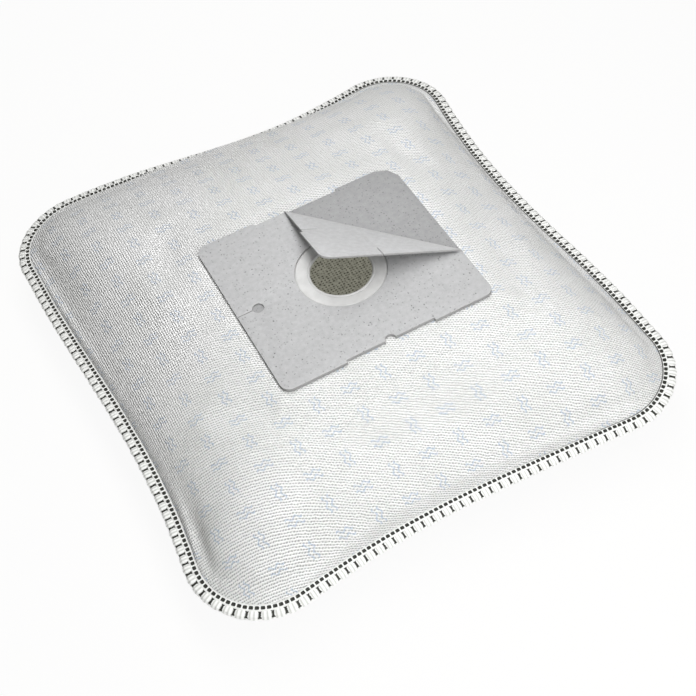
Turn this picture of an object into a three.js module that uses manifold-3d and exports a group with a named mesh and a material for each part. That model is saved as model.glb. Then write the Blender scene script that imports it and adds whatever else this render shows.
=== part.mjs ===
// A vacuum cleaner's dust bag, blown up to its working shape and lying on its back.
// Two square fleece panels are welded to each other round a flat hem. A collar of two
// stiff cards is glued over the hole in the upper panel, with a soft sealing ring between
// the cards. One corner of the top card is folded back over the ring.
// Millimetres, +Z up. The origin is on the surface that the bag lies on, under its middle.

import * as THREE from 'three'
import { mergeVertices } from 'three/addons/utils/BufferGeometryUtils.js'
import Module from 'manifold-3d'

// Weld line: four corner arcs joined by long arcs that the filling pulls inwards
const cornerCentreX = 88.5
const cornerCentreY = 104
const cornerRadius = 32.5
const bowRight = 5
const bowBack = 4.7
const bowLeft = 5
const bowFront = 5.6

// Fleece panels
const fleece = 1.2
const hemFleece = 0.9
const hemWidth = 6.8
const lowerDepth = 28
const upperRise = 34
const panelHoleRadius = 24

// Flat patch that the lower panel lies on
const patchHalfX = 40
const patchHalfY = 44
const patchCorner = 22

// Weld marks pressed into the top of the hem
const weldPitch = 5.3
const dotRow = 1.5
const dotSize = 1.6
const dotStagger = 0.12
const barStart = 3.2
const barEnd = 6.2
const barWidth = 0.9
const weldDepth = 0.5

// Collar cards
const cardX = 110
const cardY = 101
const cardCorner = 5
const baseCard = 1.0
const topCard = 1.0
const cardHoleRadius = 22.5
const cardMargin = 1.5
const collarShiftX = 2.5
const collarShiftY = -15.5
const baseClippedCorner = 9

// Key marks of the cards
const recessHalf = 23
const recessDepth = 1.5
const notchRadius = 2.7
const slitLength = 8
const slitWidth = 0.6
const keyHoleRadius = 2.8
const flapSlitPlace = 20

// Fold of the top card, from a point on its back edge to a point on its right edge
const creaseOnBack = -8
const creaseOnRight = -23
const foldAngle = THREE.MathUtils.degToRad(152)
const foldRadius = 0.4

// Sealing ring
const ringHoleRadius = 15
const ringOuterRadius = 28
const ringThickness = 0.5
const ringSeatGap = 0.5
const ringBead = 0.8

// Heights that follow
const hemZ = lowerDepth
const padZ = hemZ + upperRise
const topCardZ = padZ + baseCard
const padHalfX = cardX / 2 + cardMargin
const padHalfY = cardY / 2 + cardMargin

const collarCentre = new THREE.Vector2(collarShiftX, collarShiftY)
const wasm = await Module()
wasm.setup()

// Frame outline with round corners, run once round as eight pieces: a side, a corner, ...
// at(piece, f, out) is the point at fraction f of a piece, moved outwards by out.
class Outline {
  constructor(halfX, halfY, radius, bows, centre = new THREE.Vector2()) {
    this.pieces = []
    for (let i = 0; i < 4; i++) {
      const [across, along] = i % 2 ? [halfY, halfX] : [halfX, halfY]
      const tilt = Outline.tilt(along, bows[i])
      const nextTilt = Outline.tilt(across, bows[(i + 1) % 4])
      const turn = i * Math.PI / 2
      this.pieces.push({ kind: 'side', across, along, radius, bow: bows[i], tilt, turn })
      const sweep = Math.PI / 2 + tilt + nextTilt
      this.pieces.push({ kind: 'corner', across, along, radius, tilt, sweep, turn })
    }
    this.centre = centre
    const lengths = this.pieces.map((piece) => this.pieceLength(piece))
    this.ends = lengths.map((_, i) => lengths.slice(0, i + 1).reduce((a, b) => a + b))
    this.length = this.ends[7]
  }

  // Angle between a bowed side's end and a straight one
  static tilt(along, bow) {
    return bow === 0 ? 0 : 2 * Math.atan2(bow, along)
  }

  pieceLength({ kind, along, radius, bow, tilt, sweep }) {
    if (kind === 'corner') return radius * sweep
    if (bow === 0) return 2 * along
    return 2 * tilt * this.sideRadius(along, radius, bow)
  }

  sideRadius(along, radius, bow) {
    return (along ** 2 + bow ** 2) / (2 * bow) - radius
  }

  // Piece and fraction at a length along the outline
  find(length) {
    const wrapped = THREE.MathUtils.euclideanModulo(length, this.length)
    const piece = this.ends.findIndex((end) => wrapped <= end)
    const start = piece ? this.ends[piece - 1] : 0
    return [piece, (wrapped - start) / (this.ends[piece] - start)]
  }

  at(index, f, out = 0) {
    const { kind, across, along, radius, bow, tilt, sweep, turn } = this.pieces[index]
    const point = new THREE.Vector2()
    if (kind === 'corner') {
      const angle = f * sweep - tilt
      point.set(across + (radius + out) * Math.cos(angle), along + (radius + out) * Math.sin(angle))
    } else if (bow === 0) {
      point.set(across + radius + out, (2 * f - 1) * along)
    } else {
      const side = this.sideRadius(along, radius, bow)
      const angle = (2 * f - 1) * tilt
      const middle = across + radius - bow + side
      point.set(middle - (side - out) * Math.cos(angle), (side - out) * Math.sin(angle))
    }
    return point.rotateAround(new THREE.Vector2(), turn).add(this.centre)
  }
}

// Closed surface put together from rings of points and flat cells
class Skin {
  constructor() {
    this.points = []
    this.faces = []
  }

  add(x, y, z) {
    this.points.push(x, y, z)
    return this.points.length / 3 - 1
  }

  ring(count, place) {
    return Array.from({ length: count }, (_, i) => this.add(...place(i / count)))
  }

  // Band between two rings, the first outside or below the second, facing up or outwards
  band(first, second) {
    let [i, j] = [0, 0]
    while (i < first.length || j < second.length) {
      const a = first[i % first.length]
      const b = second[j % second.length]
      if ((i + 1) / first.length <= (j + 1) / second.length) {
        this.faces.push(a, first[(i + 1) % first.length], b)
        i++
      } else {
        this.faces.push(a, second[(j + 1) % second.length], b)
        j++
      }
    }
  }

  // Bands through a list of rings
  bands(...rings) {
    for (let i = 1; i < rings.length; i++) this.band(rings[i - 1], rings[i])
  }

  // Flat cap seen from above, or from below
  cap(ring, centre, fromAbove) {
    const middle = this.add(...centre)
    ring.forEach((a, i) => {
      const b = ring[(i + 1) % ring.length]
      this.faces.push(...(fromAbove ? [a, b, middle] : [b, a, middle]))
    })
  }

  geometry() {
    const geometry = new THREE.BufferGeometry()
    geometry.setAttribute('position', new THREE.Float32BufferAttribute(this.points, 3))
    geometry.setIndex(this.faces)
    return tidy(geometry)
  }
}

// Merged corners, and flat shading
function tidy(geometry) {
  geometry.deleteAttribute('normal')
  geometry.deleteAttribute('uv')
  const merged = mergeVertices(geometry, 1e-4)
  merged.computeVertexNormals()
  return merged
}

const seam = new Outline(
  cornerCentreX, cornerCentreY, cornerRadius, [bowRight, bowBack, bowLeft, bowFront])
const padCornerX = padHalfX - cardCorner - cardMargin
const padCornerY = padHalfY - cardCorner - cardMargin
const pad = new Outline(
  padCornerX, padCornerY, cardCorner + cardMargin, [0, 0, 0, 0], collarCentre)
const patch = new Outline(
  patchHalfX - patchCorner, patchHalfY - patchCorner, patchCorner, [0, 0, 0, 0])

// Weld cells round the hem, a multiple of four so that the panels need a quarter as many
const cells = 4 * Math.round(seam.length / weldPitch / 4)
const pitch = seam.length / cells
const hemColumns = cells / 2
const domeColumns = cells / 4

// Height of the blown-up panel, as a share of its full height, over the share of the way in
const fullness = (share) => (1 - (1 - share) ** 2.2) ** 0.8
const upperShares = [0.04, 0.13, 0.27, 0.46, 0.7, 1]
const lowerShares = [0.05, 0.17, 0.36, 0.64, 1]

// Ring on the hem, out past the weld line by a distance
function hemRing(skin, count, out, z) {
  return skin.ring(count, (f) => {
    const point = seam.at(...seam.find(f * seam.length), out)
    return [point.x, point.y, z]
  })
}

// Rings of a panel's curved wall, from the weld line to a flat middle
function domeRings(skin, shares, middle, inset, edgeZ, middleZ) {
  return shares.map((share) => skin.ring(domeColumns, (f) => {
    const place = seam.find(f * seam.length)
    const outer = seam.at(...place, -inset)
    const point = outer.lerp(middle.at(...place), share)
    return [point.x, point.y, THREE.MathUtils.lerp(edgeZ, middleZ, fullness(share))]
  }))
}

// Pit of one weld mark: its rim in the hem's top face and its floor, in the hem's own
// coordinates (length along the weld line, distance out from it)
function pit(along, from, to, width) {
  const half = width / 2
  const rim = [
    new THREE.Vector2(along - half, from), new THREE.Vector2(along + half, from),
    new THREE.Vector2(along + half, to), new THREE.Vector2(along - half, to)]
  const floor = [new THREE.Vector2(along, from + half), new THREE.Vector2(along, to - half)]
  return { rim, floor: floor[1].y - floor[0].y < 1e-6 ? [floor[0]] : floor }
}

// Hem's top face with its weld marks, cell by cell: a bar and two dots to a cell
function weldedTop(skin, z) {
  const put = (point, height) => {
    const place = seam.at(...seam.find(point.x), point.y)
    return skin.add(place.x, place.y, height)
  }
  const face = (corners, ids, wanted) => {
    const [a, b, c] = corners
    const turn = (b.x - a.x) * (c.y - a.y) - (b.y - a.y) * (c.x - a.x)
    skin.faces.push(...(turn * wanted > 0 ? ids : [ids[0], ids[2], ids[1]]))
  }
  for (let cell = 0; cell < cells; cell++) {
    const start = cell * pitch
    const dot = (share, row) => pit(start + share * pitch, row - dotSize / 2, row + dotSize / 2, dotSize)
    const pits = [
      pit(start + 0.5 * pitch, barStart, barEnd, barWidth),
      dot(0.25, dotRow - dotStagger / 2),
      dot(0.75, dotRow + dotStagger / 2)]
    const frame = [[0, 0], [1, 0], [1, hemWidth], [0, hemWidth]]
      .map(([k, out]) => new THREE.Vector2(start + k * pitch, out))
    const flat = [frame, ...pits.map((mark) => mark.rim)].flat()
    const ids = flat.map((point) => put(point, z))
    for (const [i, j, k] of THREE.ShapeUtils.triangulateShape(frame, pits.map((mark) => mark.rim))) {
      face([flat[i], flat[j], flat[k]], [ids[i], ids[j], ids[k]], -1)
    }
    pits.forEach((mark, n) => {
      const rim = ids.slice(frame.length + 4 * n, frame.length + 4 * n + 4)
      const low = mark.floor.map((point) => put(point, z - weldDepth))
      const [near, far] = [low[0], low[low.length - 1]]
      const walls = [[0, 1, near], [2, 3, far]]
      walls.forEach(([i, j, floor]) => skin.faces.push(rim[j], rim[i], floor))
      skin.faces.push(rim[2], rim[1], near, rim[0], rim[3], far)
      if (near !== far) skin.faces.push(rim[2], near, far, rim[0], far, near)
    })
  }
}

// Upper fleece panel, with the hole that the dust comes in by
function upperPanel() {
  const skin = new Skin()
  const hemTop = hemZ + hemFleece
  const hole = (z) => skin.ring(domeColumns, (f) => {
    const angle = 2 * Math.PI * f + holeTurn
    const reach = new THREE.Vector2(panelHoleRadius, 0).rotateAround(new THREE.Vector2(), angle)
    return [collarCentre.x + reach.x, collarCentre.y + reach.y, z]
  })
  const start = seam.at(0, 0)
  const holeTurn = Math.atan2(start.y, start.x)
  weldedTop(skin, hemTop)
  const rimTop = hemRing(skin, cells, hemWidth, hemTop)
  const rimBottom = hemRing(skin, cells, hemWidth, hemZ)
  const outer = [
    hemRing(skin, cells, 0, hemTop), ...domeRings(skin, upperShares, pad, 0, hemTop, padZ)]
  const inner = [
    hemRing(skin, hemColumns, -fleece, hemZ),
    ...domeRings(skin, upperShares, pad, fleece, hemZ, padZ - fleece)]
  skin.bands(rimBottom, rimTop)
  skin.bands(...outer, hole(padZ), hole(padZ - fleece), ...inner.toReversed(), rimBottom)
  return skin.geometry()
}

// Lower fleece panel, closed, with the flat patch it lies on
function lowerPanel() {
  const skin = new Skin()
  const hemBottom = hemZ - hemFleece
  const rimTop = hemRing(skin, hemColumns, hemWidth, hemZ)
  const rimBottom = hemRing(skin, hemColumns, hemWidth, hemBottom)
  const outer = [
    hemRing(skin, hemColumns, 0, hemBottom),
    ...domeRings(skin, lowerShares, patch, 0, hemBottom, 0)]
  const inner = [
    hemRing(skin, hemColumns, -fleece, hemZ),
    ...domeRings(skin, lowerShares, patch, fleece, hemZ, fleece)]
  skin.bands(...outer.toReversed(), rimBottom, rimTop, ...inner)
  skin.cap(outer.at(-1), [0, 0, 0], false)
  skin.cap(inner.at(-1), [0, 0, fleece], true)
  return skin.geometry()
}

// Shallow recess in a card's front or back edge, side -1 being the front
function recessedEdge(side, middle = []) {
  const edge = side * cardY / 2
  const floor = edge - side * recessDepth
  return [[-recessHalf, edge], [-recessHalf, floor], ...middle, [recessHalf, floor], [recessHalf, edge]]
}

// Recessed edge with a half-round notch in its middle
function keyedEdge(side) {
  const floor = side * (cardY / 2 - recessDepth)
  const arc = Array.from({ length: 7 }, (_, i) => {
    const angle = Math.PI * i / 6
    return [-notchRadius * Math.cos(angle), floor - side * notchRadius * Math.sin(angle)]
  })
  return recessedEdge(side, arc)
}

// Slit in from an edge: the two ends at the edge and the two inside, for a point on the
// edge and the direction inwards
function slit(x, y, inX, inY, length) {
  const half = slitWidth / 2
  const ends = [[0, -half], [length, -half], [length, half], [0, half]]
  return ends.map(([deep, wide]) => [x + deep * inX - wide * inY, y + deep * inY + wide * inX])
}

// Quarter round of a card's corner, run anticlockwise
function roundCorner(signX, signY, first) {
  return Array.from({ length: 5 }, (_, i) => {
    const angle = first + Math.PI / 2 * i / 4
    return [
      signX * (cardX / 2 - cardCorner) + cardCorner * Math.cos(angle),
      signY * (cardY / 2 - cardCorner) + cardCorner * Math.sin(angle)]
  })
}

// Slit that ends in a key hole, in from the left edge
function keySlit() {
  const edge = -cardX / 2
  const centre = edge + slitLength + keyHoleRadius
  const mouth = Math.asin(slitWidth / 2 / keyHoleRadius)
  const round = Array.from({ length: 11 }, (_, i) => {
    const angle = Math.PI - mouth - (2 * Math.PI - 2 * mouth) * i / 10
    return [centre + keyHoleRadius * Math.cos(angle), keyHoleRadius * Math.sin(angle)]
  })
  return [[edge, slitWidth / 2], ...round, [edge, -slitWidth / 2]]
}

const circle = (radius, count) => Array.from({ length: count }, (_, i) => {
  const angle = 2 * Math.PI * i / count
  return new THREE.Vector2(radius * Math.cos(angle), radius * Math.sin(angle))
})
const vectors = (pairs) => pairs.map(([x, y]) => new THREE.Vector2(x, y))

// Solid of a three.js geometry, for cutting
function solid(geometry) {
  const merged = mergeVertices(geometry.deleteAttribute('normal').deleteAttribute('uv'))
  const mesh = new wasm.Mesh({
    numProp: 3,
    vertProperties: new Float32Array(merged.attributes.position.array),
    triVerts: new Uint32Array(merged.index.array)
  })
  return new wasm.Manifold(mesh)
}

function geometryOf(manifold) {
  const mesh = manifold.getMesh()
  const geometry = new THREE.BufferGeometry()
  geometry.setAttribute('position', new THREE.BufferAttribute(new Float32Array(mesh.vertProperties), 3))
  geometry.setIndex(Array.from(mesh.triVerts))
  return tidy(geometry)
}

// Lower card, glued to the fleece, with the shallow seat of the sealing ring
function collarBaseCard() {
  const [halfX, halfY] = [cardX / 2, cardY / 2]
  const outline = [
    ...keyedEdge(-1),
    ...roundCorner(1, -1, -Math.PI / 2),
    [halfX, halfY - baseClippedCorner], [halfX - baseClippedCorner / 3, halfY - baseClippedCorner / 3],
    [halfX - baseClippedCorner, halfY],
    ...recessedEdge(1).toReversed(),
    ...roundCorner(-1, 1, Math.PI / 2),
    ...roundCorner(-1, -1, Math.PI)]
  const shape = new THREE.Shape(vectors(outline))
  shape.holes.push(new THREE.Path(circle(cardHoleRadius, 40)))
  const card = new THREE.ExtrudeGeometry(shape, { depth: baseCard, bevelEnabled: false })
  const seatRadius = ringOuterRadius + ringSeatGap
  const seat = new THREE.CylinderGeometry(seatRadius, seatRadius, 2 * ringThickness, 40)
  seat.rotateX(Math.PI / 2).translate(0, 0, baseCard)
  return geometryOf(solid(card).subtract(solid(seat)))
}

// Top card: flat up to the crease, bent round it, and flat again over the hole
function collarTopCard() {
  const [halfX, halfY] = [cardX / 2, cardY / 2]
  const back = new THREE.Vector2(creaseOnBack, halfY - recessDepth)
  const right = new THREE.Vector2(halfX, creaseOnRight)
  const along = right.clone().sub(back).normalize()
  const across = new THREE.Vector2(-along.y, along.x)
  const bendLength = foldAngle * (foldRadius + topCard / 2)

  // Point of the flat card, taken round the fold
  const bend = (point, height) => {
    const past = point.clone().sub(back).dot(across)
    if (past <= 1e-6) return [point.x, point.y, height]
    const angle = foldAngle * Math.min(past / bendLength, 1)
    const rest = Math.max(past - bendLength, 0)
    const reach = foldRadius + topCard - height
    const out = reach * Math.sin(angle) + rest * Math.cos(angle)
    const up = topCard + foldRadius - reach * Math.cos(angle) + rest * Math.sin(angle)
    const foot = point.clone().addScaledVector(across, out - past)
    return [foot.x, foot.y, up]
  }

  // Where a line at a distance past the crease meets the card's back and right edges
  const onBack = (past) => {
    const step = past / across.x
    return new THREE.Vector2(back.x + step, back.y)
  }
  const onRight = (past) => new THREE.Vector2(right.x, right.y + past / across.y)

  const fixed = [
    back, ...vectors(recessedEdge(1).slice(0, 2).toReversed()),
    ...vectors(roundCorner(-1, 1, Math.PI / 2)), ...vectors(keySlit()),
    ...vectors(roundCorner(-1, -1, Math.PI)), ...vectors(keyedEdge(-1)),
    ...vectors(roundCorner(1, -1, -Math.PI / 2)), right]
  const flap = [
    onRight(bendLength),
    ...vectors(slit(halfX, flapSlitPlace, -1, 0, slitLength)).toReversed(),
    ...vectors(roundCorner(1, 1, 0)),
    ...vectors(recessedEdge(1).slice(2).toReversed()),
    ...vectors(slit(flapSlitPlace, halfY - recessDepth, 0, -1, slitLength)).toReversed(),
    onBack(bendLength)]
  const steps = 6
  const bends = Array.from({ length: steps }, (_, i) => {
    const [near, far] = [bendLength * i / steps, bendLength * (i + 1) / steps]
    return [onRight(near), onRight(far), onBack(far), onBack(near)]
  })

  const skin = new Skin()
  const plate = (contour, holes = []) => {
    const flat = [contour, ...holes].flat()
    const low = flat.map((point) => skin.add(...bend(point, 0)))
    const high = flat.map((point) => skin.add(...bend(point, topCard)))
    for (const [i, j, k] of THREE.ShapeUtils.triangulateShape(contour, holes)) {
      const [a, b, c] = [flat[i], flat[j], flat[k]]
      const turn = b.clone().sub(a).cross(c.clone().sub(a))
      const [second, third] = turn > 0 ? [j, k] : [k, j]
      skin.faces.push(high[i], high[second], high[third], low[i], low[third], low[second])
    }
    return { low, high }
  }
  const wall = ({ low, high }, from, to, step = 1) => {
    for (let i = from; i !== to; i += step) {
      skin.faces.push(low[i], low[i + step], high[i + step], low[i], high[i + step], high[i])
    }
  }
  const hole = circle(cardHoleRadius, 40)
  const fixedPlate = plate(fixed, [hole])
  wall(fixedPlate, 0, fixed.length - 1)
  wall(fixedPlate, fixed.length + 39, fixed.length, -1)
  const close = { low: fixedPlate.low.slice(-40), high: fixedPlate.high.slice(-40) }
  skin.faces.push(close.low[0], close.low[39], close.high[39], close.low[0], close.high[39], close.high[0])
  bends.forEach((quad) => {
    const strip = plate(quad)
    wall(strip, 0, 1)
    wall(strip, 2, 3)
  })
  wall(plate(flap), 0, flap.length - 1)
  return skin.geometry()
}

// Sealing ring: a flat rubbery washer with a bead round its hole
function sealingRing() {
  const beadRound = Array.from({ length: 5 }, (_, i) => {
    const angle = Math.PI / 4 + 3 * Math.PI / 2 * i / 4
    return [
      ringHoleRadius + ringBead + ringBead * Math.cos(angle),
      ringThickness / 2 + ringBead * Math.sin(angle)]
  })
  const neck = ringHoleRadius + ringBead * 1.9
  const profile = [
    [ringOuterRadius, 0], [ringOuterRadius, ringThickness], [neck, ringThickness],
    ...beadRound, [neck, 0], [ringOuterRadius, 0]]
  const ring = new THREE.LatheGeometry(vectors(profile), 36)
  ring.rotateX(Math.PI / 2)
  return tidy(ring)
}

const material = (color, roughness) => new THREE.MeshStandardMaterial({ color, roughness, metalness: 0 })
const fleeceWhite = material(0xe9eae8, 0.9)
const cardGrey = material(0xb9babb, 0.8)
const baseGrey = material(0xa9aaab, 0.85)
const ringWhite = material(0xe4e4e3, 0.5)

function node(name, geometry, look, place = [0, 0, 0]) {
  const mesh = new THREE.Mesh(geometry, look)
  mesh.name = name
  mesh.position.set(...place)
  return mesh
}

const bag = new THREE.Group()
bag.add(
  node('upper_panel', upperPanel(), fleeceWhite),
  node('lower_panel', lowerPanel(), fleeceWhite),
  node('collar_base_card', collarBaseCard(), baseGrey, [collarShiftX, collarShiftY, padZ]),
  node('sealing_ring', sealingRing(), ringWhite, [collarShiftX, collarShiftY, topCardZ - ringThickness]),
  node('collar_top_card', collarTopCard(), cardGrey, [collarShiftX, collarShiftY, topCardZ]))

export default bag
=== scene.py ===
import bmesh
import bpy
import numpy as np
from mathutils import Matrix, Vector


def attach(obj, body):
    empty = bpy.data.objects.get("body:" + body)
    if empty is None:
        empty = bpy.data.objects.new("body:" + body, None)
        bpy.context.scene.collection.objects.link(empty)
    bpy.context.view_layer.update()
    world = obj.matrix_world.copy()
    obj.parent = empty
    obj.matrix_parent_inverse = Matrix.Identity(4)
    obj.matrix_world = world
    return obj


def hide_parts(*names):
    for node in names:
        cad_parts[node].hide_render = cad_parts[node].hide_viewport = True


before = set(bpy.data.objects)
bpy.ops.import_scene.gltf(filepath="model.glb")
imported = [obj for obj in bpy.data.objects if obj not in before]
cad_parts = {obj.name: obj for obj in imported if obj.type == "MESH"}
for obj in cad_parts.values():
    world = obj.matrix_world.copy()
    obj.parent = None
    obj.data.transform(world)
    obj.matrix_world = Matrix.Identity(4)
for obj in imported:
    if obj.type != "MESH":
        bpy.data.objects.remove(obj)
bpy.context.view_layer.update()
scene = bpy.context.scene
scene.view_settings.view_transform = "Standard"


# Camera. It looks down on the bag from the front and the left, from a little over half a
# metre away. It is turned so that the collar's corners and its two circles fall where the
# photograph has them.
lens = bpy.data.cameras.new("camera")
lens.sensor_width = 36.0
lens.lens = 62.07
camera = bpy.data.objects.new("camera", lens)
scene.collection.objects.link(camera)
scene.camera = camera
rightwards = Vector((0.87931, -0.46757, -0.09046))
upwards = Vector((0.42188, 0.67663, 0.60347))
turned = Matrix((rightwards, upwards, rightwards.cross(upwards))).transposed()
camera.matrix_world = Matrix.Translation((-0.13723, -0.36921, 0.49624)) @ turned.to_4x4()


# Floor and room light. The bag lies on a plain white sweep that keeps a soft shadow. The room
# is evenly pale, so that each finish shows about the colour that it is given.
def surface(name, points, closed_columns=False, closed_rows=False, pole=None):
    """Mesh on a grid of points, rows by columns, with one face between each four neighbours.

    The columns or the rows may run round and close. A pole closes the last row with a fan.
    """
    rows, columns = points.shape[:2]
    row = np.arange(rows if closed_rows else rows - 1)[:, None]
    column = np.arange(columns if closed_columns else columns - 1)[None, :]
    next_row = (row + 1) % rows
    next_column = (column + 1) % columns
    corners = (
        row * columns + column,
        row * columns + next_column,
        next_row * columns + next_column,
        next_row * columns + column,
    )
    loops = np.stack(np.broadcast_arrays(*corners), axis=-1).ravel()
    sizes = np.full(len(loops) // 4, 4)
    flat = points.reshape(-1, 3)
    if pole is not None:
        last = (rows - 1) * columns
        fan = np.stack(
            [last + column[0], last + next_column[0], np.full(column.size, rows * columns)], -1
        )
        loops = np.concatenate([loops, fan.ravel()])
        sizes = np.concatenate([sizes, np.full(len(fan), 3)])
        flat = np.vstack([flat, pole])
    mesh = bpy.data.meshes.new(name)
    mesh.vertices.add(len(flat))
    mesh.vertices.foreach_set("co", flat.ravel())
    mesh.loops.add(len(loops))
    mesh.loops.foreach_set("vertex_index", loops)
    mesh.polygons.add(len(sizes))
    mesh.polygons.foreach_set("loop_start", np.cumsum(sizes) - sizes)
    mesh.polygons.foreach_set("use_smooth", np.ones(len(sizes), bool))
    mesh.update(calc_edges=True)
    made = bpy.data.objects.new(name, mesh)
    scene.collection.objects.link(made)
    return made


class Value:
    """A socket of a material. Arithmetic on it adds Math nodes."""

    def __init__(self, tree, socket):
        self.tree = tree
        self.socket = socket

    def give(self, inputs):
        """Give sockets of this value's own node a constant or a link."""
        for key, given in inputs.items():
            if isinstance(given, Value):
                self.tree.links.new(given.socket, self.socket.node.inputs[key])
            else:
                self.socket.node.inputs[key].default_value = given
        return self

    def add(self, kind, settings=None, inputs=None, output=0):
        """Add any other node: its settings come first, and then its sockets."""
        node = self.tree.nodes.new(kind)
        for name, setting in (settings or {}).items():
            setattr(node, name, setting)
        return Value(self.tree, node.outputs[output]).give(inputs or {})

    def other(self, output):
        """Another output of the same node."""
        return Value(self.tree, self.socket.node.outputs[output])

    def math(self, operation, *terms):
        """A Math node, with the terms that it works on."""
        return self.add("ShaderNodeMath", {"operation": operation}, dict(enumerate(terms)))

    def __add__(self, other):
        return self.math("ADD", self, other)

    __radd__ = __add__

    def __sub__(self, other):
        return self.math("SUBTRACT", self, other)

    def __rsub__(self, other):
        return self.math("SUBTRACT", other, self)

    def __mul__(self, other):
        return self.math("MULTIPLY", self, other)

    __rmul__ = __mul__

    def __abs__(self):
        return self.math("ABSOLUTE", self)

    def sine(self):
        return self.math("SINE", self)

    def cosine(self):
        return self.math("COSINE", self)

    def floor(self):
        return self.math("FLOOR", self)

    def power(self, exponent):
        return self.math("POWER", self, exponent)

    def larger(self, other):
        return self.math("MAXIMUM", self, other)

    def part(self):
        """What is left after the whole number, moved down to run from -0.5 to 0.5."""
        return self.math("FRACT", self) - 0.5

    def step(self, off, on):
        """Smooth step, from 0 where this value is off to 1 where it is on."""
        settings = {"interpolation_type": "SMOOTHSTEP"}
        return self.add("ShaderNodeMapRange", settings, {0: self, 1: off, 2: on})

    def tint(self, first, second):
        """Colour that goes from the first to the second as this value goes from 0 to 1."""
        return self.add("ShaderNodeMix", {"data_type": "RGBA"}, {0: self, 6: first, 7: second}, 2)

    def axes(self):
        """The three numbers of a vector or a colour."""
        split = self.add("ShaderNodeSeparateXYZ", {}, {0: self})
        return [split.other(axis) for axis in range(3)]

    def noise(self, scale, detail=2.0):
        """Noise over this vector, from 0 to 1."""
        sockets = {"Vector": self, "Scale": scale, "Detail": detail}
        return self.add("ShaderNodeTexNoise", {}, sockets)

    def wander(self, scale, reach, detail=2.0):
        """This vector moved by noise, by up to a reach along each axis."""
        settings = {"operation": "MULTIPLY_ADD"}
        lot = self.noise(scale, detail).other("Color")
        return self.add("ShaderNodeVectorMath", settings, {0: lot, 1: reach, 2: self})

    def stretch(self, factors):
        """This vector times a factor for each axis."""
        settings = {"operation": "MULTIPLY"}
        return self.add("ShaderNodeVectorMath", settings, {0: self, 1: factors})

    def place(self):
        """Where a point lies on its object."""
        return self.add("ShaderNodeTexCoord", {}, {}, "Object")

    def relief(self, strength, distance):
        """Feed a Bump node with this height and give its normal."""
        sockets = {"Strength": strength, "Distance": distance, "Height": self}
        return self.add("ShaderNodeBump", {}, sockets, "Normal")


def material(name, constants):
    """New material, and the value of its Principled shader with these constants."""
    made = bpy.data.materials.new(name)
    made.use_nodes = True
    shader = made.node_tree.nodes["Principled BSDF"]
    return made, Value(made.node_tree, shader.outputs[0]).give(constants)


def seen_directly(value):
    """1 for what the camera sees directly, in a reflection or through glass."""
    path = value.add("ShaderNodeLightPath", {}, {}, "Is Camera Ray")
    return path.larger(path.other("Is Glossy Ray")).larger(path.other("Is Transmission Ray"))


HALF_FLOOR = 3.0
corners = HALF_FLOOR * np.array([[[-1, -1, 0], [1, -1, 0]], [[-1, 1, 0], [1, 1, 0]]])
floor = surface("floor", corners)
sweep, shader = material("white sweep", {"Base Color": (0.5, 0.49, 0.465, 1), "Roughness": 0.9})
paper = shader.place().noise(900.0)
shader.give({"Normal": paper.relief(0.05, 0.0002)})
bright = shader.add("ShaderNodeEmission", {}, {"Color": (1, 1, 1, 1), "Strength": 1.04})
share = seen_directly(shader) * 0.9
mixed = shader.add("ShaderNodeMixShader", {}, {0: share, 1: shader, 2: bright})
shader.tree.links.new(mixed.socket, shader.tree.nodes["Material Output"].inputs["Surface"])
floor.data.materials.append(sweep)

scene.world = bpy.data.worlds.new("room")
scene.world.use_nodes = True
room_tree = scene.world.node_tree
room = Value(room_tree, room_tree.nodes["Background"].outputs[0])
room.give({"Color": (1, 0.98, 0.92, 1), "Strength": 0.08})
backdrop = room.add("ShaderNodeBackground", {}, {"Color": (1, 1, 1, 1), "Strength": 1.0})
mixed = room.add("ShaderNodeMixShader", {}, {0: seen_directly(room), 1: room, 2: backdrop})
room_tree.links.new(mixed.socket, room_tree.nodes["World Output"].inputs["Surface"])


# Lamps. A long soft strip hangs low over the bag and runs out far in front of it, so the
# slopes on the left and right turn grey while the front and the back stay bright. A short one
# stands lower in front and lifts the front slope.
def strip_lamp(name, place, width, length, power):
    """Rectangular lamp that faces down, with its width in x and its length in y."""
    made = bpy.data.lights.new(name, "AREA")
    made.shape = "RECTANGLE"
    made.size = width
    made.size_y = length
    made.energy = power
    stand = bpy.data.objects.new(name, made)
    scene.collection.objects.link(stand)
    stand.matrix_world = Matrix.Translation(place)


strip_lamp("strip_lamp", (0.03, -0.95, 0.5), 0.2, 2.7, 9.8)
strip_lamp("front_lamp", (-0.05, -0.9, 0.35), 0.5, 0.3, 3.5)


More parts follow.
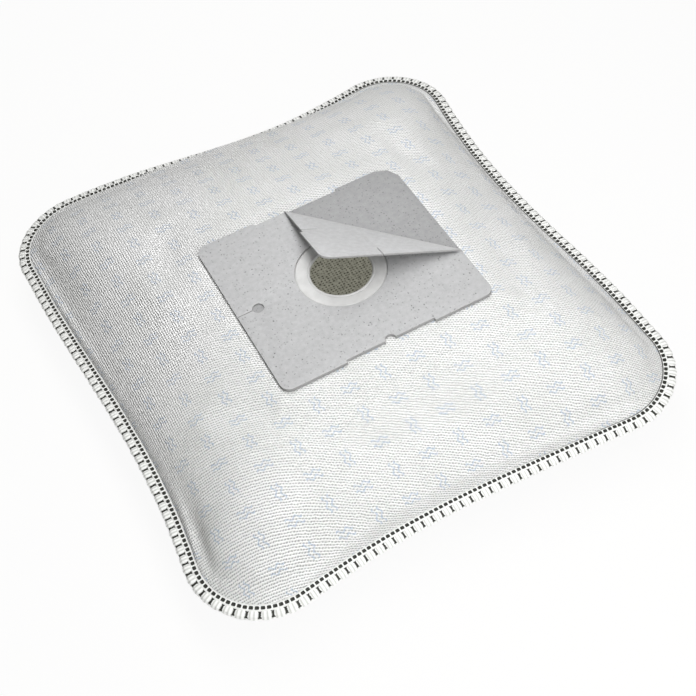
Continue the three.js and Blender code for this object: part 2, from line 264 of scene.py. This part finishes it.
# Lower panel: white non-woven fleece on a dark filter lining, blown out into a shallow
# cushion that settles on a flat patch. Only its lining shows from above, through the inlet, where
# its glow is painted light.
def frame_points(where, half_x, half_y, radius, bows):
    """Round-cornered frame as points and outward units, for places from 0 to 8 round it.

    Each unit of place is one side or one corner, by turns. A side is an arc of a large circle
    that bows inwards, and a corner is an arc of the given radius that meets both in line.
    """
    points = np.zeros(where.shape + (2,))
    outwards = np.zeros_like(points)
    for i in range(4):
        across, along = (half_y, half_x) if i % 2 else (half_x, half_y)
        tilt = 2 * np.arctan2(bows[i], along)
        sweep_angle = np.pi / 2 + tilt + 2 * np.arctan2(bows[(i + 1) % 4], across)
        side_radius = (along**2 + bows[i] ** 2) / (2 * bows[i]) - radius
        part = where % 8 - 2 * i
        side = (part >= 0) & (part < 1)
        angle = (2 * part[side] - 1) * tilt
        flat = across + radius - bows[i] + side_radius * (1 - np.cos(angle))
        points[side] = np.stack([flat, side_radius * np.sin(angle)], -1)
        outwards[side] = np.stack([np.cos(angle), -np.sin(angle)], -1)
        corner = (part >= 1) & (part < 2)
        angle = (part[corner] - 1) * sweep_angle - tilt
        unit = np.stack([np.cos(angle), np.sin(angle)], -1)
        points[corner] = unit * radius + (across, along)
        outwards[corner] = unit
        quarter = (part >= 0) & (part < 2)
        turn = np.array([[np.cos(i * np.pi / 2), np.sin(i * np.pi / 2)],
                         [-np.sin(i * np.pi / 2), np.cos(i * np.pi / 2)]])
        points[quarter] = points[quarter] @ turn
        outwards[quarter] = outwards[quarter] @ turn
    return points, outwards


# Weld line's frame: half its straight sides in x and y, corner radius and bow of each side
SEAM = (0.0885, 0.104, 0.0295, (0.0037, 0.0026, 0.0062, 0.0059))
STRAIGHT = (1e-6,) * 4
HEM_Z = 0.028
PANEL_COLUMNS = 300
HALF_WELD = (0.121, 0.1365)
CORNER_MOVES_MM = {
    (1, -1): (0.4, -3.9),
    (1, 1): (1.6, -3.1),
    (-1, 1): (-7.3, 3.5),
    (-1, -1): (-0.7, -4.0),
}
PULL_MM = np.array([
    1.0, 2.7, 2.2, 0.2, -1.3, -1.7, -0.6, 1.3, 0.8, -2.8, -5.1, -3.8, -0.4, 2.4, 2.0, -0.6,
    0.4, 3.0, 3.8, 3.0, 1.6, 0.3, -0.4, 0.0, 0.8, 0.2, -0.2, 0.2, 1.0, 1.4, 0.6, -0.5,
])
ENDS = np.array([0.0, 6.72, 8.42, 14.33, 16.06, 22.86, 24.67, 30.27, 32.0])


def pull(where):
    """How far the filling draws the weld line outwards, in millimetres.

    It is a cubic through the given values, which stand evenly round the line's length. The
    ends say where on that count each side and corner starts.
    """
    step = np.interp(where % 8, np.arange(9), ENDS)
    first = np.floor(step).astype(int)
    share = step - first
    a, b, c, d = (PULL_MM[(first + i) % len(PULL_MM)] for i in (-1, 0, 1, 2))
    bend = 2 * a - 5 * b + 4 * c - d + share * (3 * (b - c) + d - a)
    return b + share * (c - a + share * bend) / 2


def weld_line(where):
    """Weld line of the bag, with its sides and corners drawn a few millimetres by the filling.

    The four corners' moves, each under its side in x and in y, are mixed evenly over the
    rectangle between them.
    """
    points, outwards = frame_points(where, *SEAM)
    points = points + outwards * pull(where)[:, None] * 0.001
    share = points / HALF_WELD
    for (right, back), move in CORNER_MOVES_MM.items():
        weight = (1 + right * share[..., :1]) * (1 + back * share[..., 1:]) / 4
        points = points + weight * np.array(move) * 0.001
    return points, outwards


def even_places(count):
    """Places that share the weld line out evenly by its length, and that length."""
    fine = np.linspace(0, 8, 8001)
    points, _ = weld_line(fine)
    run = np.concatenate([[0], np.cumsum(np.hypot(*np.diff(points, axis=0).T))])
    return np.interp(np.arange(count) / count * run[-1], run, fine), run[-1]


def raised(plan, height):
    """Points of a plan with one height for all, or a height for each."""
    height = np.broadcast_to(height, plan.shape[:-1])
    return np.concatenate([plan, height[..., None]], -1)


def wall(shares, edge, middle, edge_z, middle_z, rise=0.8):
    """Blown-up wall between two outlines, as rows of points.

    A point goes straight in from the edge to the middle by its share, and its height goes up
    by (1 - (1 - share) ** 2.2) ** rise of the way.
    """
    share = shares[:, None]
    plan = edge * (1 - share[..., None]) + middle * share[..., None]
    full = (1 - (1 - share) ** 2.2) ** rise
    return raised(plan, edge_z + (middle_z - edge_z) * full)


def cloth_map(piece, points, middle, start):
    """UV map in millimetres of cloth: how far each point lies out from the flat middle."""
    steps = np.linalg.norm(np.diff(points, axis=0), axis=-1)
    run = np.concatenate([np.cumsum(steps[start - 1::-1], axis=0)[::-1], np.zeros_like(steps[:1])])
    direction = points[0, :, :2] - middle
    direction = direction / np.linalg.norm(direction, axis=-1, keepdims=True)
    flat = points[..., :2].copy()
    flat[: start + 1] = middle + direction * run[..., None]
    put_map(piece, flat.reshape(-1, 2) * 1000)


def put_map(piece, values, turn=None):
    """Write a UV map from values given for each point.

    With a turn, faces that cross the start of the first number get their low values raised
    by it.
    """
    mesh = piece.data
    index = np.zeros(len(mesh.loops), np.int32)
    mesh.loops.foreach_get("vertex_index", index)
    if index.max() >= len(values):
        values = np.vstack([values, np.zeros((index.max() + 1 - len(values), 2))])
    corner_values = values[index]
    if turn:
        first = corner_values[:, 0].reshape(-1, 4)
        crosses = np.ptp(first, axis=1)[:, None] > turn / 2
        first += np.where(crosses & (first < turn / 2), turn, 0)
        corner_values[:, 0] = first.ravel()
    layer = mesh.uv_layers.new(name="cloth")
    layer.data.foreach_set("uv", corner_values.astype(np.float32).ravel())


def blow_up(piece, wall_rows, reach):
    """Let air push a sheet out for twenty frames of cloth simulation.

    Its two outer rings are held, and so is all that lies from the wall's last row inwards.
    No point may move further than its reach or under the floor, and the result is written
    into the mesh.
    """
    before = np.zeros(len(piece.data.vertices) * 3, np.float32)
    piece.data.vertices.foreach_get("co", before)
    held = np.r_[: 2 * PANEL_COLUMNS, (wall_rows - 1) * PANEL_COLUMNS : len(before) // 3]
    group = piece.vertex_groups.new(name="held")
    group.add(held.tolist(), 1.0, "REPLACE")
    cloth = piece.modifiers.new("air", "CLOTH")
    settings = cloth.settings
    settings.quality = 6
    settings.mass = 0.15
    settings.tension_stiffness = 20
    settings.compression_stiffness = 20
    settings.shear_stiffness = 10
    settings.bending_stiffness = 4
    settings.shrink_min = 0.004
    settings.vertex_group_mass = "held"
    settings.use_pressure = True
    settings.uniform_pressure_force = 4
    settings.effector_weights.gravity = 0
    for number in range(1, 21):
        scene.frame_set(number)
    solved = piece.evaluated_get(bpy.context.evaluated_depsgraph_get()).data
    after = np.zeros_like(before)
    solved.vertices.foreach_get("co", after)
    piece.modifiers.remove(cloth)
    piece.vertex_groups.remove(group)
    scene.frame_set(1)
    move = (after - before).reshape(-1, 3)
    length = np.linalg.norm(move, axis=1, keepdims=True)
    move = move * np.minimum(1, np.reshape(reach, (-1, 1)) / np.maximum(length, 1e-9))
    blown = before.reshape(-1, 3) + move
    blown[:, 2] = np.maximum(blown[:, 2], 0)
    piece.data.vertices.foreach_set("co", blown.ravel())
    piece.data.update()


def sew(piece, outside, inside, rounding=0):
    """Give a sheet its thickness inwards, with the lining on the inner side."""
    piece.data.materials.append(outside)
    piece.data.materials.append(inside)
    if rounding:
        round_off = piece.modifiers.new("round_off", "SUBSURF")
        round_off.levels = round_off.render_levels = rounding
    thick = piece.modifiers.new("thickness", "SOLIDIFY")
    thick.thickness = 0.0012
    thick.offset = -1
    thick.material_offset = 1


white_fleece, shader = material(
    "white fleece",
    {"Roughness": 0.92, "Sheen Weight": 0.15, "Sheen Roughness": 0.5, "Specular IOR Level": 0.2},
)
cloth = shader.add("ShaderNodeUVMap", {"uv_map": "cloth"})
across_mm, along_mm, _ = cloth.wander(0.35, (1.2, 1.0, 0), 1.0).axes()
# Net of bonded dots: three waves that cross at about sixty degrees. It leans at the left
# shoulder. Towards the back its upright wave grows, and its dots stand out but turn paler.
SHOULDER_MM = -55
drawn_mm = (SHOULDER_MM - across_mm).larger(0.0)
along_mm = along_mm + drawn_mm * drawn_mm * 0.0045
first_wave = across_mm * 5.03
second_wave = across_mm * 2.58 + along_mm * 4.49
behind = (along_mm - across_mm).step(20, 110)
upright_net = first_wave.cosine() * (behind * 1.1 + 0.5)
net = upright_net + second_wave.cosine() * (1.8 - behind * 0.7)
net = (net + (second_wave - first_wave).cosine() * 0.5) * (behind * 0.5 + 1)
fibres = cloth.noise(2.2, 3.0)
dots = (net * (cloth.noise(0.4, 1.0) + 0.5) + (fibres - 0.5) * 3.5).step(-0.7, 2.4)
clouds = cloth.noise(0.03, 2.0)
ground = clouds.step(0.3, 0.7).tint((0.90, 0.905, 0.895, 1), (0.96, 0.96, 0.96, 1))
depth = dots * (0.85 - behind * 0.35) + (fibres - 0.4) * 0.35
woven = depth.tint(ground, (0.38, 0.385, 0.38, 1))
# Printed motif: two short waves, laid across and along by turns on a rectangular grid
MOTIF_X_MM, MOTIF_Y_MM = 17, 14
cell_x, cell_y, _ = cloth.stretch((1 / MOTIF_X_MM, 1 / MOTIF_Y_MM, 1)).axes()
cell_sum = cell_x.floor() + cell_y.floor()
turn_about = cell_sum.math("PINGPONG", cell_sum, 1.0)
near_x = cell_x.part() * MOTIF_X_MM
near_y = cell_y.part() * MOTIF_Y_MM
run_mm = near_x + turn_about * (near_y - near_x)
rise_mm = near_y + turn_about * (near_x - near_y)
wave = abs(rise_mm - (run_mm * 1.5).sine() * 0.7)
stroke = abs(wave - 1.3).step(0.6, 0.3) * abs(run_mm).step(4.2, 3.8)
worn = cloth.noise(0.9, 2.0).step(0.3, 0.6)
printed = (stroke * (worn * 0.35 + 0.28)).tint(woven, (0.42, 0.51, 0.65, 1))
shader.give({"Base Color": printed, "Normal": (fibres * 0.9 - net * 0.3).relief(0.8, 0.0004)})

# The lining glows with an emission that follows its weave. This is painted light on the shaded
# inside seen through the inlet.
lining_with_painted_light, shader = material(
    "lining with painted light", {"Roughness": 0.9, "Specular IOR Level": 0.2, "Emission Strength": 1.0}
)
cloth = shader.add("ShaderNodeUVMap", {"uv_map": "cloth"})
across_mm, along_mm, _ = cloth.wander(0.3, (0.8, 0.8, 0), 1.0).axes()
BOND_X_MM, BOND_Y_MM = 1.9, 1.6
bonds = (across_mm * (np.pi / BOND_X_MM)).sine() * (along_mm * (np.pi / BOND_Y_MM)).sine()
pits = abs(bonds).step(0.35, 0.9)
lining_tone = pits * cloth.noise(0.8, 1.0).step(0.3, 0.6) + (cloth.noise(0.4, 3.0) - 0.4) * 1.2
shader.give({
    "Base Color": lining_tone.tint((0.30, 0.30, 0.25, 1), (0.10, 0.10, 0.08, 1)),
    "Emission Color": lining_tone.tint((0.175, 0.172, 0.145, 1), (0.012, 0.012, 0.009, 1)),
    "Normal": bonds.relief(0.5, 0.0004),
})

places, _ = even_places(PANEL_COLUMNS)
seam, seam_out = weld_line(places)
patch, _ = frame_points(places, 0.018, 0.022, 0.022, STRAIGHT)
shares = np.linspace(0, 1, 22) ** 1.4
lower = wall(shares, seam + seam_out * 0.0003, patch, HEM_Z - 0.0006, 0.0)[:, ::-1]
inner_rings = patch[::-1] * np.array([0.75, 0.5, 0.25])[:, None, None]
rows = np.concatenate([lower, raised(inner_rings, 0)])
lower_fleece = surface("lower_fleece", rows, closed_columns=True, pole=(0, 0, 0))
cloth_map(lower_fleece, rows, patch[::-1], len(shares) - 1)
blow_up(lower_fleece, len(shares), 0.003)
sew(lower_fleece, white_fleece, lining_with_painted_light)
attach(lower_fleece, "root")
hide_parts("lower_panel")


# Upper panel: the same fleece with its printed side out, blown up into a dome. Its flat
# middle is glued under the collar, and a soft groove runs along inside the weld.
COLLAR = np.array([0.0025, -0.0155])
PAD_Z = 0.062
pad, _ = frame_points(places, 0.0500, 0.0455, 0.0065, STRAIGHT)
pad = pad + COLLAR
shares = np.linspace(0, 1, 34) ** 1.6
upper = wall(shares, seam + seam_out * 0.0002, pad, HEM_Z + 0.0006, PAD_Z, rise=0.9)
spoke = pad - COLLAR
spoke = spoke / np.linalg.norm(spoke, axis=-1, keepdims=True)
FLEECE_HOLE = 0.024
hole = COLLAR + spoke * FLEECE_HOLE
inner_rings = pad + (hole - pad) * np.array([0.3, 1.0])[:, None, None]
rows = np.concatenate([upper, raised(inner_rings, PAD_Z)])
upper_fleece = surface("upper_fleece", rows, closed_columns=True)
cloth_map(upper_fleece, rows, pad, len(shares) - 1)
inwards_mm = np.linalg.norm(rows[..., :2] - seam, axis=-1) * 1000
blow_up(upper_fleece, len(shares), 0.001 * np.minimum(5, 0.25 * inwards_mm.ravel()))
solved = np.zeros(rows.size, np.float32)
upper_fleece.data.vertices.foreach_get("co", solved)
solved = solved.reshape(rows.shape)
places_known = [0, 0.4, 0.8, 1.6, 2.0, 2.3, 2.7, 3.0, 4.0, 4.4, 5.0, 6.0, 7.4, 8.0]
groove_known = [0.25, 0.8, 1, 0.8, 0.6, 0.1, 0.0, 0.2, 0.25, 0.35, 0.35, 0.25, 0.2, 0.25]
GROOVE_MM, GROOVE_INWARDS_MM, GROOVE_HALF_MM = 3.2, 5.2, 3.0
groove_mm = GROOVE_MM * np.interp(places, places_known, groove_known)
across_groove = (inwards_mm - GROOVE_INWARDS_MM) / GROOVE_HALF_MM
solved[..., 2] -= 0.001 * groove_mm * np.exp(-(across_groove**2))
# Towards the middle of the back the panel bulges out over the weld
BULGE_MM, BULGE_INWARDS_MM = 3.3, 3
behind_share = np.interp(places, [2.05, 2.5, 2.95], [0, 1, 0])
bulge_mm = BULGE_MM * behind_share * inwards_mm / BULGE_INWARDS_MM
bulge_mm = bulge_mm * np.exp(1 - inwards_mm / BULGE_INWARDS_MM)
solved[..., :2] += 0.001 * bulge_mm[..., None] * seam_out
solved[..., 2] += 0.0003 * bulge_mm
upper_fleece.data.vertices.foreach_set("co", solved.astype(np.float32).ravel())
sew(upper_fleece, white_fleece, lining_with_painted_light, rounding=1)
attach(upper_fleece, "root")
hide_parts("upper_panel")


# Welded hem: both panels pressed flat together and melted through by a heated wheel. It
# leaves an inner row of square dots and an outer row of bars, with soft puffs between them.

# One bar in each cell, with so many points and dots, and a lip where the faces meet
CELLS = 196
PER_CELL = 10
DOTS = 2
LIP_MM = 0.08
count = CELLS * PER_CELL
places, seam_length = even_places(count)
seam, seam_out = weld_line(places)
cell = np.arange(count) / PER_CELL
pitch_mm = seam_length / CELLS * 1000


def between(value, low, high, soft):
    """1 between two limits and 0 beyond them, with soft edges."""
    return np.clip((value - low) / soft, 0, 1) * np.clip((high - value) / soft, 0, 1)


def hem_height(cells, out_mm):
    """Height of the hem's face in millimetres over its middle plane.

    Puffs rise between the bars as a squared cosine, a narrow ridge runs between the two rows
    of marks, and each mark is a pit with soft sides.
    """
    bar_mm = (cells % 1 - 0.5) * pitch_mm
    dot_mm = (cells * DOTS % 1 - 0.5) * pitch_mm / DOTS
    puff = 0.25 * np.cos(np.pi * (cells % 1)) ** 2 * between(out_mm, 2.8, 6.8, 1.2)
    ridge = 0.3 * np.exp(-(((out_mm - 2.7) / 0.3) ** 2))
    bar = between(bar_mm, -0.5, 0.5, 0.25) * between(out_mm, 3.2, 6.2, 0.3)
    dot = between(dot_mm, -0.9, 0.9, 0.25) * between(out_mm, 0.9, 2.5, 0.3)
    return 0.6 + puff + ridge - 0.4 * np.maximum(bar, dot)


generator = np.random.default_rng(7)
ragged = generator.normal(0, 1, CELLS * 2)
ragged = np.interp(cell * 2, np.arange(CELLS * 2 + 1), np.append(ragged, ragged[0]))
width_mm = 6.6 + 0.15 * np.cos(2 * np.pi * cell) + 0.08 * ragged


def hem_face(shares):
    """Face of the hem in rows from weld line to edge: how far out, and how high.

    Over the last eighth of its width it thins to three tenths.
    """
    share = shares[:, None]
    out = share * width_mm
    return out, hem_height(cell, out) * np.clip((1 - share) / 0.12, 0.3, 1)


top_out, top_height = hem_face(np.linspace(0, 1, 27))
under_out, under_height = hem_face(np.linspace(1, 0, 15))
lip_out = width_mm + np.full((2, 1), LIP_MM)
lip_height = np.array([[LIP_MM], [-LIP_MM]]) * np.ones(count)
out_mm = np.concatenate([top_out, lip_out, under_out])[::-1]
height_mm = np.concatenate([top_height, lip_height, -under_height])[::-1]
plan = seam + seam_out * out_mm[..., None] * 0.001
droop_mm = 0.14 * np.maximum(out_mm - 1.5, 0)
height = HEM_Z + (height_mm - droop_mm) * 0.001
points = raised(plan, height)
welded_hem = surface("welded_hem", points, closed_columns=True, closed_rows=True)
hem_map = np.stack([np.broadcast_to(cell, out_mm.shape), out_mm], -1)
put_map(welded_hem, hem_map.reshape(-1, 2), turn=CELLS)

melted, shader = material(
    "welded fleece", {"Specular IOR Level": 0.25, "Sheen Weight": 0.1, "Sheen Roughness": 0.5}
)
hem_place = shader.add("ShaderNodeUVMap", {"uv_map": "cloth"})
around, outwards_mm, _ = hem_place.axes()
solid_place = shader.place()
shake = (solid_place.noise(1500.0, 2.0) - 0.5) * 0.5
bar_mm = around.part() * pitch_mm
dot_mm = (around * DOTS).part() * (pitch_mm / DOTS)
bar_along = abs(outwards_mm - 4.75)
serif = bar_along.step(0.8, 1.4) * 0.25
bar_side = (abs(bar_mm) - serif + shake).step(0.58, 0.38)
bar_mask = bar_side * (bar_along + shake * 0.5).step(1.6, 1.35)
dot_reach = (abs(dot_mm) * 1.06).power(4.0)
dot_rise = (abs(outwards_mm - 1.7) * 1.12).power(4.0)
dot_mask = (dot_reach + dot_rise + shake * 0.6).step(1.1, 0.75)
# A thin dark line just inside the dots is painted shadow, where the dome's foot overhangs the
# weld. It is strongest along the sides that face right.
facing_right = (around * (2 * np.pi / CELLS) + 0.9).sine().step(-0.2, 0.9)
painted_shadow_line = abs(outwards_mm - 0.35).step(0.4, 0.2) * (facing_right * 0.85 + 0.15)
marks_and_painted_shade = bar_mask.larger(dot_mask).larger(painted_shadow_line)
# Three crease lines run across each puff. Their grey in the colour is painted shade, and they also
# feed the bump.
crease_relief_and_shade = (around * (2 * np.pi * 3)).sine() * outwards_mm.step(2.9, 3.7)
fuzz = solid_place.noise(1100.0, 3.0)
pale = (fuzz * 0.35 + crease_relief_and_shade * 0.4).tint((0.89, 0.895, 0.88, 1), (0.40, 0.41, 0.38, 1))
# The near-black of the bars and dots is partly the melted film's own grey and partly painted shade
# in their pits. The painted shadow line joins them here.
shader.give({
    "Base Color": marks_and_painted_shade.tint(pale, (0.012, 0.012, 0.008, 1)),
    "Roughness": 0.9 - marks_and_painted_shade * 0.45,
    "Normal": (fuzz + crease_relief_and_shade * 0.4).relief(0.4, 0.0002),
})
welded_hem.data.materials.append(melted)
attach(welded_hem, "root")
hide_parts("upper_panel", "lower_panel")


# Lower card of the collar: stiff grey board of recycled fibre, punched out with its key
# marks and glued to the fleece. Its back right corner is clipped.

# Width, depth and thickness of a card, and the details of its outline
CARD_X, CARD_Y, CARD = 0.110, 0.101, 0.001
CARD_CORNER = 0.005
CARD_HOLE = 0.0225
RECESS = 0.0015
HALF_RECESS = 0.023
ROUNDING = 0.0001


def arc(centre, radius, first, last, steps):
    """Points on part of a circle, from one angle to another in degrees."""
    angle = np.radians(np.linspace(first, last, steps))
    return np.stack([centre[0] + radius * np.cos(angle), centre[1] + radius * np.sin(angle)], -1)


def recessed_edge(side, middle=np.zeros((0, 2))):
    """Front or back edge of a card from left to right, with a wide shallow recess."""
    edge = side * CARD_Y / 2
    ends = np.array([[-HALF_RECESS, edge], [-HALF_RECESS, edge - side * RECESS]])
    return np.concatenate([ends, middle, ends[::-1] * (-1, 1)])


def keyed_edge(side):
    """Recessed edge with a half-round notch in its middle."""
    floor_y = side * (CARD_Y / 2 - RECESS)
    return recessed_edge(side, arc((0, floor_y), 0.0027, 180, 180 + side * 180, 25))


def slit(mouth, inwards, length=0.008, width=0.00045):
    """Narrow cut from an edge inwards: its four corners, as met on the way round the card."""
    mouth, inwards = np.array(mouth), np.array(inwards)
    side = np.array([-inwards[1], inwards[0]]) * width / 2
    tip = mouth + inwards * length
    return np.array([mouth + side, tip + side, tip - side, mouth - side])


def card_line(back_right, left_key):
    """Outline of a card, anticlockwise, with its back right corner and its left key given."""
    x, y = CARD_X / 2 - CARD_CORNER, CARD_Y / 2 - CARD_CORNER
    return np.concatenate([
        keyed_edge(-1),
        arc((x, -y), CARD_CORNER, -90, 0, 13),
        back_right,
        arc((-x, y), CARD_CORNER, 90, 180, 13),
        left_key,
        arc((-x, -y), CARD_CORNER, 180, 270, 13),
    ])


def punch(name, outline):
    """Card cut from an outline with the inlet's hole, with its cut edges slightly rounded.

    It is a flat filled curve of two loops, given its thickness and made into a mesh.
    """
    drawn = bpy.data.curves.new(name, "CURVE")
    drawn.dimensions = "2D"
    drawn.fill_mode = "BOTH"
    for loop in (outline, arc((0, 0), CARD_HOLE, 0, 357.5, 144)):
        spline = drawn.splines.new("POLY")
        spline.points.add(len(loop) - 1)
        weighted = np.column_stack([loop, np.zeros(len(loop)), np.ones(len(loop))])
        spline.points.foreach_set("co", weighted.ravel())
        spline.use_cyclic_u = True
    drawn.bevel_depth = ROUNDING
    drawn.bevel_resolution = 1
    drawn.offset = -ROUNDING
    drawn.extrude = CARD / 2 - ROUNDING
    holder = bpy.data.objects.new(name, drawn)
    scene.collection.objects.link(holder)
    solved = holder.evaluated_get(bpy.context.evaluated_depsgraph_get())
    mesh = bpy.data.meshes.new_from_object(solved)
    bpy.data.objects.remove(holder)
    mesh.name = name
    made = bpy.data.objects.new(name, mesh)
    scene.collection.objects.link(made)
    return made


def settle(piece, place, cuts=(), shape=None):
    """Merge a punched card's corners, cut it along lines, bend it and put it in its place.

    Its top takes the first of its three materials, its under side the second and its cut
    edges the third.
    """
    work = bmesh.new()
    work.from_mesh(piece.data)
    bmesh.ops.remove_doubles(work, verts=work.verts, dist=1e-6)
    for origin, normal in cuts:
        parts = list(work.verts) + list(work.edges) + list(work.faces)
        bmesh.ops.bisect_plane(work, geom=parts, plane_co=origin, plane_no=normal, dist=1e-7)
    bmesh.ops.recalc_face_normals(work, faces=work.faces)
    work.to_mesh(piece.data)
    work.free()
    points = np.zeros(len(piece.data.vertices) * 3, np.float32)
    piece.data.vertices.foreach_get("co", points)
    points = points.reshape(-1, 3).astype(float)
    facing = np.zeros(len(piece.data.polygons) * 3, np.float32)
    piece.data.polygons.foreach_get("normal", facing)
    upright = facing.reshape(-1, 3)[:, 2]
    finishes = np.where(upright < -0.9, 1, np.where(upright < 0.9, 2, 0))
    piece.data.polygons.foreach_set("material_index", finishes.astype(np.int32))
    points[:, 2] += CARD / 2
    if shape is not None:
        points = shape(points)
    piece.data.vertices.foreach_set("co", (points + place).astype(np.float32).ravel())
    piece.data.polygons.foreach_set("use_smooth", np.ones(len(upright), bool))
    piece.data.set_sharp_from_angle(angle=np.radians(24))
    piece.data.update()


def board(name, tone, speck_share=0):
    """Grey board: cloudy pulp, with dark and pale specks where a share of them is given."""
    made, shader = material(name, {"Roughness": 0.85, "Specular IOR Level": 0.3})
    place = shader.place()
    pulp = place.noise(420.0, 4.0)
    grain = place.noise(2600.0, 2.0)
    colour = (pulp * 0.7 + grain * 0.5).tint(
        (tone * 1.24, tone * 1.25, tone * 1.26, 1), (tone * 0.78, tone * 0.78, tone * 0.79, 1)
    )
    height = grain * 0.5 + pulp * 0.5
    if speck_share:
        sockets = {"Vector": place.wander(1500.0, (0.0012, 0.0012, 0.0012)), "Scale": 760.0}
        fleck = place.add("ShaderNodeTexVoronoi", {}, sockets, "Distance")
        lot = fleck.other("Color").axes()
        dark = fleck.step(0.34, 0.2) * lot[0].step(1 - speck_share, 1 - speck_share + 0.05)
        colour = (dark * (lot[2] * 0.6 + 0.3)).tint(colour, (0.12, 0.12, 0.12, 1))
        height = height - dark * 0.6
    shader.give({"Base Color": colour, "Normal": height.relief(0.25, 0.0001)})
    return made


# Cut edge of the board, with its layers showing as fine level lines
cut_board, shader = material("cut board", {"Roughness": 0.9, "Specular IOR Level": 0.2})
layers = shader.place().stretch((0.15, 0.15, 1.0)).noise(6000.0, 2.0)
colour = layers.tint((0.46, 0.46, 0.46, 1), (0.28, 0.28, 0.28, 1))
shader.give({"Base Color": colour, "Normal": layers.relief(0.3, 0.0001)})

clipped = np.array([[0.055, 0.0415], [0.052, 0.0475], [0.046, 0.0505]])
base_line = card_line(np.concatenate([clipped, recessed_edge(1)[::-1]]), np.zeros((0, 2)))
base_card = punch("base_card", base_line)
settle(base_card, (*COLLAR, PAD_Z))
for look in (board("lower board", 0.35, 0.45), board("lower board back", 0.35), cut_board):
    base_card.data.materials.append(look)
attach(base_card, "root")
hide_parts("collar_base_card")


# Sealing ring: a moulded washer of soft white rubber, held between the two cards. A bead
# runs round its hole and grips the cleaner's inlet tube.
def lathe(name, profile, count, place):
    """Ring made by carrying a closed profile of radius and height round the upright axis."""
    angle = np.linspace(0, 2 * np.pi, count, endpoint=False)
    radius, height = profile[:, 0][:, None], profile[:, 1][:, None]
    plan = np.stack([radius * np.cos(angle), radius * np.sin(angle)], -1)
    return surface(name, raised(plan, height) + place, closed_columns=True, closed_rows=True)


# Closed profile of radius and height: the bead, and a washer with a raised inner part
bead = arc((0.0158, 0.0004), 0.0008, 40, 320, 25)
dish = np.linspace(0.0166, 0.0280, 40)
step_up = 0.0005 * np.clip((0.0223 - dish) / 0.0004, 0, 1)
top_side = np.stack([dish, 0.0005 + step_up], -1)[::-1]
under_side = np.stack([dish, np.zeros_like(dish)], -1)
profile = np.concatenate([top_side, bead, under_side])[::-1]
ring_place = (*COLLAR, PAD_Z + CARD - 0.0005)
sealing_ring = lathe("seal_ring", profile, 144, ring_place)
white_rubber, shader = material("white rubber", {"Specular IOR Level": 0.4})
place = shader.place()
bloom = place.noise(260.0, 3.0)
colour = bloom.step(0.3, 0.75).tint((0.59, 0.59, 0.585, 1), (0.53, 0.53, 0.525, 1))
shader.give({
    "Base Color": colour,
    "Roughness": 0.45 + bloom * 0.15,
    "Normal": place.noise(1800.0, 2.0).relief(0.08, 0.0001),
})
sealing_ring.data.materials.append(white_rubber)
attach(sealing_ring, "root")
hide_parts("sealing_ring")


# Upper card of the collar: lighter board glued over the lower card. Its back right corner
# is creased on a slant and folded back over the inlet, so its plain reverse shows.
back_end = np.array([-0.008, 0.049])
right_end = np.array([0.055, -0.023])
along_crease = (right_end - back_end) / np.linalg.norm(right_end - back_end)
past_crease = np.array([-along_crease[1], along_crease[0]])
FOLD = np.radians(152)
FOLD_RADIUS = 0.0004
BEND_STEPS = 12
bend_length = FOLD * (FOLD_RADIUS + CARD / 2)


def fold(points):
    """Take what lies past the crease round it: first along an arc, and then straight on."""
    past = (points[:, :2] - back_end) @ past_crease
    angle = FOLD * np.clip(past / bend_length, 0, 1)
    rest = np.maximum(past - bend_length, 0)
    reach = FOLD_RADIUS + CARD - points[:, 2]
    out = reach * np.sin(angle) + rest * np.cos(angle)
    up = CARD + FOLD_RADIUS - reach * np.cos(angle) + rest * np.sin(angle)
    folded = np.column_stack([points[:, :2] + past_crease * (out - past)[:, None], up])
    return np.where(past[:, None] > 0, folded, points)


corner_line = np.concatenate([
    slit((0.055, 0.020), (-1, 0)),
    arc((0.050, 0.0455), CARD_CORNER, 0, 90, 13),
    [[HALF_RECESS, 0.0505], [HALF_RECESS, 0.049]],
    slit((0.020, 0.049), (0, -1)),
    recessed_edge(1)[:2][::-1],
])
keyhole = np.concatenate([
    [[-0.055, 0.00015]],
    arc((-0.0442, 0), 0.0028, 176.93, -176.93, 37),
    [[-0.055, -0.00015]],
])
top_card = punch("top_card", card_line(corner_line, keyhole))
cuts = [
    ((*(back_end + past_crease * bend_length * i / BEND_STEPS), 0), (*past_crease, 0))
    for i in range(BEND_STEPS + 1)
]
settle(top_card, (*COLLAR, PAD_Z + CARD), cuts, fold)
for look in (board("upper board", 0.475, 0.35), board("upper board back", 0.53), cut_board):
    top_card.data.materials.append(look)
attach(top_card, "root")
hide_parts("collar_top_card")
